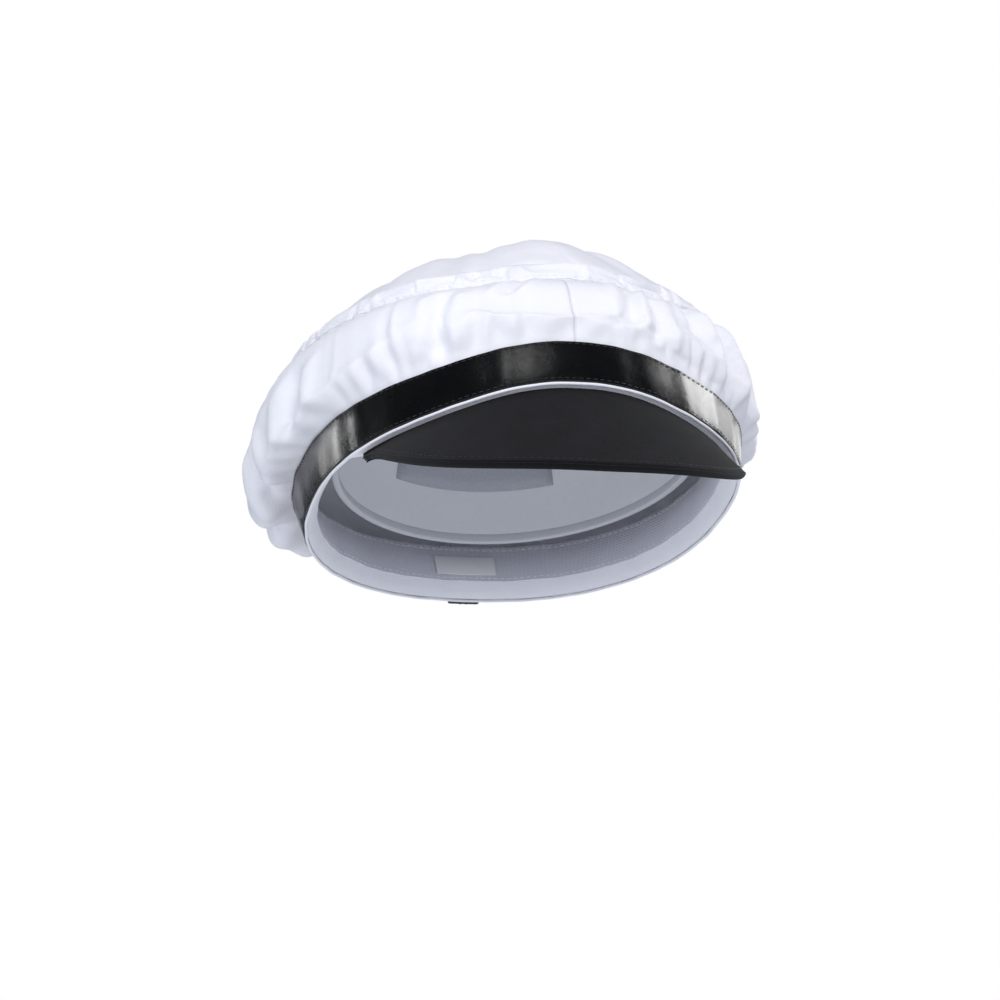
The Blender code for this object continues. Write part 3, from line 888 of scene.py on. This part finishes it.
class CAP_OT_peak(bpy.types.Operator):
    """Short steep peak: brushed cloth over a board, with its edge bound and stitched."""
    bl_idname = "bump_cap.peak"
    bl_label = "Peak"

    def execute(self, context):
        g, c = sizes(), context.scene.cap_colours
        half = 0.0005            # half of the board's thickness
        t = np.linspace(-g.peak_angle, g.peak_angle, 161)
        rows = np.concatenate([[-0.009, -0.005, -0.0018, -0.0006], np.zeros(22)])
        frac = np.concatenate([np.zeros(4), np.linspace(0.0, 1.0, 22)])

        def layer(name, d, edge):
            reach = peak_reach(g, t)[:, None] + edge
            v = np.where(frac[None] > 0, PEAK_START + frac[None] * reach,
                         rows[None] + PEAK_START * (rows[None] == 0))
            return skin(name, peak(g, t[:, None], v, d))

        felt = felted("brushed_cloth_charcoal", tuple(c.felt), 0.08)
        top = layer("peak_cloth_top", half + PLY_GAP + CLOTH_T / 2, 0.0006)
        under = layer("peak_cloth_under", -half - PLY_GAP - CLOTH_T / 2, 0.0006)
        for ob, node in ((top, "peak_top_cover"), (under, "peak_under_cover")):
            outward_from(ob, peak(g, 0.0, 0.02, 0.0))
            thicken(ob, CLOTH_T)
            settle(ob, "cap", "charcoal_cloth", felt, node)
        board = layer("peak_board_sheet", 0.0, 0.0003)
        thicken(board, 2 * half)
        # Polyethylene board, die cut: matte and slightly waxy.
        waxy = plain("polyethylene_board", linear("#3A3A3C"), 0.5, 300, 0.1)
        settle(board, "cap", "board", waxy, "peak_board")
        lip = half + PLY_GAP + CLOTH_T
        reach = peak_reach(g, t) + PEAK_START
        # The turned edge goes round the covers' ends and closes at the peak's corners.
        close = 0.12 + 0.88 * (1.0 - (np.abs(t) / g.peak_angle) ** 10)
        around = [math.tau * k / 16 for k in range(16)]
        ring = [peak(g, t, reach + (0.0008 + 0.0007 * math.cos(a)) * close,
                     (lip + 0.0001) * math.sin(a) * close) for a in around]
        edge = tube("peak_bound_edge", np.stack(ring, 1), np.arange(16) * 0.0005)
        bias = felted("bias_binding_black", tuple(c.binding), 0.1)
        settle(edge, "cap", "charcoal_cloth", bias, "peak_binding")
        inner = np.linspace(-g.peak_angle + 3, g.peak_angle - 3, 200)
        v = np.maximum(peak_reach(g, inner) - 0.0022, 0.001)
        path = peak(g, inner, v, lip)
        row = stitches("peak_edge_stitches", path, peak(g, inner, v, lip + 0.001) - path,
                       0.0020, 0.0030, 0.0002)
        settle(row, "cap", "charcoal_cloth", sewing_thread(True))
        return {"FINISHED"}


class CAP_OT_sweatband(bpy.types.Operator):
    """Soft inner band that touches the head, with its seams and a blank size label."""
    bl_idname = "bump_cap.sweatband"
    bl_label = "Sweatband"

    def execute(self, context):
        g, c = sizes(), context.scene.cap_colours

        def behind(t):
            """0 along the peak, 1 where the lower edge has no peak in it."""
            return smooth(np.abs(wrapped(t)), g.peak_angle + 1.0, g.peak_angle + 8.0)

        def on_sweat(t, s, d):
            lift = RIM_TUCK * behind(t) * np.clip(1.0 - np.asarray(s) / 0.012, 0.0, 1.1)
            return band(g, t, s + lift, d)

        def soft(t):
            return 0.0002 * noise_1d(t, 37, 12) + 0.0002 * noise_1d(t, 19, 13)

        thick = 0.0010
        d = -g.leather_t - g.cloth_t * 2 - 0.0009 - 0.0026 - PLY_GAP
        full = np.linspace(-180, 180, 481)[:-1]
        profile = rounded(-0.0009, g.sweatband_width, d - thick, d, 0.00045)
        sweat = sweep("sweatband_tricot", on_sweat, full, profile, True, soft)
        # White facing turned in from the piping up to the sweatband, flat where the peak is.
        near, far = -0.0012, d - 0.0006
        x = np.linspace(0.0, 1.0, 9)
        belly = 0.0007 * np.sin(math.pi * x)
        over = np.concatenate([x, x[::-1]])
        hang = np.concatenate([-belly, 0.0007 - belly[::-1]])

        def facing(t, s, depth):
            return band(g, t, -0.0006 + hang + 0.0062 * behind(t) * over, depth)

        loop = np.stack([hang, near + (far - near) * over], 1)
        tape = sweep("rim_facing", facing, full, loop, True, lambda t: 0.3 * soft(t))
        settle(tape, "cap", "white_cloth", cloth_white(c))
        # Brushed tricot over thin foam: pale lavender grey, soft and matte; ribs 1 mm apart.
        tricot = woven("tricot_pale_grey", tuple(c.sweat), 0.0010, roughness=0.85, sheen=0.4,
                       depth=0.45, fuzz=0.3)
        settle(sweat, "cap", "grey_cloth", tricot, "sweatband")
        for name, s in (("sweatband_stitches_low", 0.0022),
                        ("sweatband_stitches_high", g.sweatband_width - 0.0022)):
            at = d - thick + soft(full)
            path = on_sweat(full, s, at)
            row = stitches(name, path, -normals_of(on_sweat, full, s, at), 0.0021, 0.0030,
                           0.0002, True)
            settle(row, "cap", "grey_cloth", sewing_thread(False))
        d -= thick + PLY_GAP
        # Woven satin label, left blank.
        label = sweep("blank_label", on_sweat, np.linspace(173, 187, 40),
                      rounded(0.005, 0.019, d - 0.0004, d, 0.00018))
        satin = woven("satin_label_white", linear("#F4F4F6"), 0.0005, roughness=0.4, sheen=0.1,
                      depth=0.2, fuzz=0.05)
        settle(label, "cap", "white_cloth", satin, "size_label")
        return {"FINISHED"}


class CAP_OT_insert(bpy.types.Operator):
    """Hard vented shell with its edge trim, foam pads and fastener patches."""
    bl_idname = "bump_cap.insert"
    bl_label = "Insert"

    def execute(self, context):
        g, c = sizes(), context.scene.cap_colours
        rows = np.array([8, 16, 25, 34, 44, 54, 64, 76, 88.5, 90.0])
        phi = np.linspace(0, 350, 36)
        vents = [(i, j) for i in range(36) for j in (3, 5) if i % 9 in (3, 5)]
        p = dome(g, phi[:, None], rows[None])
        shell = skin("moulded_shell", p, True, vents, dome(g, 0.0, 0.0))
        outward_from(shell, SHELL_MIDDLE)
        thicken(shell, g.shell_t, -1.0)
        modify(shell, "SUBSURF", levels=2, render_levels=2)
        # ABS, injection moulded with a fine satin texture.
        abs_white = plain("abs_white_satin", tuple(c.shell), 0.42, 500, 0.08, 0.02)
        settle(shell, "insert", "abs", abs_white, "impact_shell")
        fine = np.linspace(0, 360, 181)[:-1]

        def edge(t, s, d):
            q = dome(g, t, 89.4 + 0 * t, d)
            q[..., 2] = g.shell_brim - s
            return q

        prof = rounded(-0.0016, 0.0027, -g.shell_t - 0.0006, 0.0005, 0.0009)
        trim = sweep("edge_trim_ring", edge, fine, prof, True)
        # Thermoplastic rubber, extruded: matte with a soft edge.
        rubber = plain("rubber_trim_grey", tuple(c.trim), 0.55, 900, 0.1, 0.04)
        settle(trim, "insert", "black_plastic", rubber, "shell_edge_trim")
        # EVA foam, die cut and skived: closed cells under half a millimetre, drawn at 0.5 mm.
        foam = plain("eva_foam_grey", tuple(c.foam), 0.9, 1500, 0.35, 0.12,
                     Specular_IOR_Level=0.2)
        inner = -g.shell_t - PLY_GAP
        for name, mid, half in (("pad_front", 0, 30), ("pad_rear", 180, 30),
                                ("pad_left", 90, 20), ("pad_right", 270, 20)):
            span = np.linspace(mid - half, mid + half, 25)
            self.pad(name, g, span, np.linspace(54, 76, 13), inner, foam, False)
        self.pad("pad_crown", g, np.linspace(0, 360, 73)[:-1], np.linspace(2, 25, 12), inner,
                 foam, True)
        # Hook tape: stiff nylon hooks in rows 1.2 mm apart.
        hook = woven("hook_tape_white", tuple(c.hook), 0.0012, roughness=0.6, sheen=0.0,
                     depth=1.0, fuzz=0.4)
        patch = dome(g, fine[:, None], np.linspace(2, 16, 8)[None], 0.0009)
        self.disc("hook_disc", patch, dome(g, 0.0, 0.0, 0.0009), "insert", hook, "hook_patch")
        # Loop tape: brushed nylon pile, its rows 0.9 mm apart.
        loop = woven("loop_tape_white", tuple(c.hook), 0.0009, roughness=0.95, sheen=0.6,
                     depth=0.6, fuzz=0.6)
        patch = crown_top(g, fine[:, None], np.linspace(0.03, 0.3, 8)[None])
        drop = np.array([0.0, 0.0, LOOP_DROP])
        self.disc("loop_disc", patch - drop, crown_top(g, 0.0, 0.0) - drop, "cap", loop,
                  "loop_patch")
        return {"FINISHED"}

    def disc(self, name, p, tip, body, finish, node):
        """Round fastener patch lying on a dome."""
        ob = skin(name, p, True, (), tip)
        outward_from(ob, SHELL_MIDDLE)
        thicken(ob, 0.0012)
        settle(ob, body, "hook_loop", finish, node)

    def pad(self, name, g, phi, alpha, inner, foam, closed):
        """Foam pad: flat against the shell, crowned towards the head."""
        u = np.zeros(len(phi)) if closed else np.abs(np.linspace(-1, 1, len(phi)))
        v = np.linspace(0, 1, len(alpha)) if closed else np.abs(np.linspace(-1, 1, len(alpha)))
        crown = (1 - u[:, None] ** 6) ** 0.5 * (1 - v[None] ** 6) ** 0.5
        back = dome(g, phi[:, None], alpha[None], inner)
        face = dome(g, phi[:, None], alpha[None], inner - g.pad_t * (0.18 + 0.82 * crown))
        nu, nv = back.shape[:2]
        verts = list(back.reshape(-1, 3)) + list(face.reshape(-1, 3))
        k = nu * nv
        faces = grid_faces(nu, nv, closed)
        faces += [tuple(k + i for i in f)[::-1] for f in grid_faces(nu, nv, closed)]
        cols = range(nu if closed else nu - 1)
        for j in (nv - 1,) if closed else (0, nv - 1):
            for i in cols:
                a, b = i * nv + j, (i + 1) % nu * nv + j
                faces.append((a, b, k + b, k + a))
        if closed:
            tip = len(verts)
            verts += [dome(g, 0.0, 0.0, inner), dome(g, 0.0, 0.0, inner - g.pad_t)]
            for i in cols:
                a, b = i * nv, (i + 1) % nu * nv
                faces += [(tip, a, b), (tip + 1, k + b, k + a)]
        else:
            for i in (0, nu - 1):
                for j in range(nv - 1):
                    a, b = i * nv + j, i * nv + j + 1
                    faces.append((a, b, k + b, k + a))
        ob = new_object("foam_" + name, verts, faces)
        outward(ob)
        settle(ob, "insert", "foam", foam, name)


class CAP_OT_adjuster(bpy.types.Operator):
    """Strap across the nape and the slider that runs on it."""
    bl_idname = "bump_cap.adjuster"
    bl_label = "Adjuster"

    def execute(self, context):
        g, c = sizes(), context.scene.cap_colours
        on_nape = partial(nape, g)
        mid = g.band_width / 2
        low, high = mid - g.strap_width / 2, mid + g.strap_width / 2
        face = PLY_GAP + g.strap_t
        slider_half = 14                     # degrees left without stitches, for the slider
        ts = np.linspace(141, 219, 240)
        strap = sweep("leatherette_strap", on_nape, ts,
                      rounded(low, high, PLY_GAP, face, 0.0004))
        settle(strap, "cap", "leatherette", leatherette(c), "adjuster_strap")
        for name, s in (("strap_stitches_top", high - 0.0015),
                        ("strap_stitches_bottom", low + 0.0015)):
            keep = ts[np.abs(ts - 180) > slider_half]
            for side, part in (("a", keep[keep < 180]), ("b", keep[keep > 180])):
                row = stitches(name + "_" + side, on_nape(part, s, face),
                               normals_of(on_nape, part, s, face), g.stitch, g.stitch_pitch,
                               0.00022)
                settle(row, "cap", "leatherette", sewing_thread(True))
        self.slider(g, c, low, high)
        return {"FINISHED"}

    def slider(self, g, c, low, high):
        """Rectangular loop with rounded corners and a raised grip on its outer face."""
        gap, wall, half = PLY_GAP, 0.0015, 0.0070
        top = g.strap_t + 2 * gap
        hole = rounded(low - gap, high + gap, 0.0, top, 0.0004, 4)
        outline = rounded(low - gap - wall, high + gap + wall, -wall, top + wall, 0.0011, 4)
        xs = np.array([-1.0, -0.94, -0.8, -0.35, -0.2, -0.05, 0.05, 0.2, 0.35, 0.8, 0.94, 1.0])
        swell = np.array([-1.0, -0.3, 0, 0, 0.6, 0, 0, 0.6, 0, 0, -0.3, -1.0]) * 0.00035

        def rows(loop, grow):
            out = []
            for x, w in zip(xs, swell, strict=True):
                centre = loop.mean(axis=0)
                q = loop + np.sign(loop - centre) * (w if grow else -min(w, 0)) * 0.5
                p = nape(g, 180.0, q[:, 0], q[:, 1])
                p[:, 0] = x * half
                out.append(p)
            return np.array(out)

        inside, outside = rows(hole, False), rows(outline, True)
        n, m = len(xs), len(hole)
        verts = list(outside.reshape(-1, 3)) + list(inside.reshape(-1, 3))
        faces = grid_faces(n, m, False, True)
        faces += [tuple(n * m + i for i in f)[::-1] for f in grid_faces(n, m, False, True)]
        for row in (0, n - 1):
            for j in range(m):
                a, b = row * m + j, row * m + (j + 1) % m
                faces.append((a, b, n * m + b, n * m + a))
        ob = new_object("moulded_slider", verts, faces)
        outward(ob)
        # Nylon 6, injection moulded: black, slightly soft gloss.
        nylon = plain("nylon_black", tuple(c.nylon), 0.4, 700, 0.12)
        settle(ob, "slider", "black_plastic", nylon, "strap_slider")


class CAP_OT_stage(bpy.types.Operator):
    """Pale floor, soft studio light and the camera."""
    bl_idname = "bump_cap.stage"
    bl_label = "Stage"

    def execute(self, context):
        c, s, scene = context.scene.cap_colours, context.scene.cap_stage, context.scene
        half = 30.0
        corners = [(x * half, y * half, s.floor_z)
                   for x, y in ((-1, -1), (1, -1), (1, 1), (-1, 1))]
        floor = new_object("studio_floor", corners, [(0, 1, 2, 3)])
        # Matt paper roll lit from all round: pale, with no mark in it.
        paper = plain("studio_paper_matt", tuple(c.floor), 0.9, 3, 0.02, 0.01,
                      Emission_Color=(0.93, 0.95, 1.0, 1.0), Emission_Strength=0.36)
        floor.data.materials.append(paper)
        az, el = s.azimuth, s.elevation
        back = Vector((math.sin(az) * math.cos(el), -math.cos(az) * math.cos(el), math.sin(el)))
        right = Vector((math.cos(az), math.sin(az), 0.0))
        up = back.cross(right)
        r = right * math.cos(s.roll) + up * math.sin(s.roll)
        u = up * math.cos(s.roll) - right * math.sin(s.roll)
        data = bpy.data.cameras.new("camera")
        data.lens, data.sensor_width, data.clip_end = s.lens, 36.0, 200.0
        cam = bpy.data.objects.new("camera", data)
        scene.collection.objects.link(cam)
        spot = back * s.distance - r * s.slide_x - u * s.slide_y
        cam.matrix_world = Matrix.Translation(spot) @ Matrix((r, u, back)).transposed().to_4x4()
        scene.camera = cam
        for name, where, width, height, power, tone, mirrored in LIGHTS:
            light = bpy.data.lights.new(name, "AREA")
            light.shape, light.size, light.size_y = "RECTANGLE", width, height
            light.energy, light.color = power, tone
            lamp = bpy.data.objects.new(name, light)
            lamp.visible_camera = False
            lamp.visible_glossy, lamp.visible_diffuse = mirrored, not mirrored
            lamp.location = r * where[0] + u * where[1] + back * where[2]
            away = lamp.location - Vector(SHELL_MIDDLE)
            lamp.rotation_euler = away.to_track_quat("Z", "Y").to_euler()
            scene.collection.objects.link(lamp)
        # White to the camera, a soft glow on the cloth, nearly dark in the glossy band.
        world = bpy.data.worlds.new("studio")
        scene.world = world
        scene.view_settings.view_transform = "Standard"
        world.use_nodes = True
        tree = world.node_tree
        tree.nodes.clear()
        seen = add(tree, "ShaderNodeBackground", Color=(1.0, 1.0, 1.0, 1.0), Strength=1.0)
        glow = add(tree, "ShaderNodeBackground", Color=(0.80, 0.87, 1.0, 1.0), Strength=0.30)
        dim = add(tree, "ShaderNodeBackground", Color=(0.80, 0.86, 1.0, 1.0), Strength=0.05)
        path = add(tree, "ShaderNodeLightPath")
        soft = add(tree, "ShaderNodeMixShader", [(path.outputs["Is Glossy Ray"], 0),
                                                 (glow.outputs[0], 1), (dim.outputs[0], 2)])
        mix = add(tree, "ShaderNodeMixShader", [(path.outputs["Is Camera Ray"], 0),
                                                (soft.outputs[0], 1), (seen.outputs[0], 2)])
        add(tree, "ShaderNodeOutputWorld", [(mix.outputs[0], "Surface")])
        return {"FINISHED"}


# Each light's place seen from the camera (right, up, towards it), its size, power and tone,
# and whether it is there for the glossy band to mirror or to light the cloth.
LIGHTS = (
    ("key_softbox", (0.10, 1.20, 1.50), 1.2, 1.2, 22.5, (1.0, 0.995, 0.985), False),
    ("top_softbox", (0.3, 1.9, -0.1), 0.9, 0.9, 6.0, (0.96, 0.98, 1.0), False),
    ("fill_softbox", (-1.6, 0.3, 0.7), 0.8, 1.0, 4.5, (0.86, 0.92, 1.0), False),
    ("forehead_strip", (0.0, 1.42, 0.72), 0.22, 0.60, 1.8, (1.0, 1.0, 1.0), True),
    ("left_strip", (-1.25, 0.12, -0.70), 0.17, 0.60, 3.4, (1.0, 1.0, 1.0), True),
    ("right_panel", (1.20, 0.60, -0.67), 0.60, 0.60, 9.0, (1.0, 1.0, 1.0), True),
    ("right_upper_panel", (1.15, 1.00, -0.10), 0.45, 0.45, 1.0, (1.0, 1.0, 1.0), True),
    ("backdrop_panel", (0.80, 0.16, -1.38), 1.2, 0.8, 6.0, (1.0, 1.0, 1.0), True),
)


class CAP_PT_panel(bpy.types.Panel):
    """Lists the pieces of the cap."""
    bl_idname = "CAP_PT_panel"
    bl_label = "Bump Cap"
    bl_space_type = "VIEW_3D"
    bl_region_type = "UI"
    bl_category = "Bump Cap"

    def draw(self, context):
        for op in OPERATORS:
            self.layout.operator(op.bl_idname)
        for group in ("cap_sizes", "cap_colours", "cap_stage"):
            box = self.layout.box()
            settings = getattr(context.scene, group)
            for key in type(settings).__annotations__:
                box.prop(settings, key)


GROUPS = (("cap_sizes", CapSizes), ("cap_colours", CapColours), ("cap_stage", CapStage))
OPERATORS = (CAP_OT_stage, CAP_OT_crown, CAP_OT_band, CAP_OT_peak, CAP_OT_sweatband,
             CAP_OT_insert, CAP_OT_adjuster)


def register():
    for name, group in GROUPS:
        bpy.utils.register_class(group)
        setattr(bpy.types.Scene, name, PointerProperty(type=group))
    for cls in (*OPERATORS, CAP_PT_panel):
        bpy.utils.register_class(cls)


def unregister():
    for cls in (CAP_PT_panel, *reversed(OPERATORS)):
        bpy.utils.unregister_class(cls)
    for name, group in reversed(GROUPS):
        delattr(bpy.types.Scene, name)
        bpy.utils.unregister_class(group)


def main():
    register()
    for op in OPERATORS:
        getattr(bpy.ops.bump_cap, op.bl_idname.split(".")[1])()


if __name__ == "__main__":
    main()
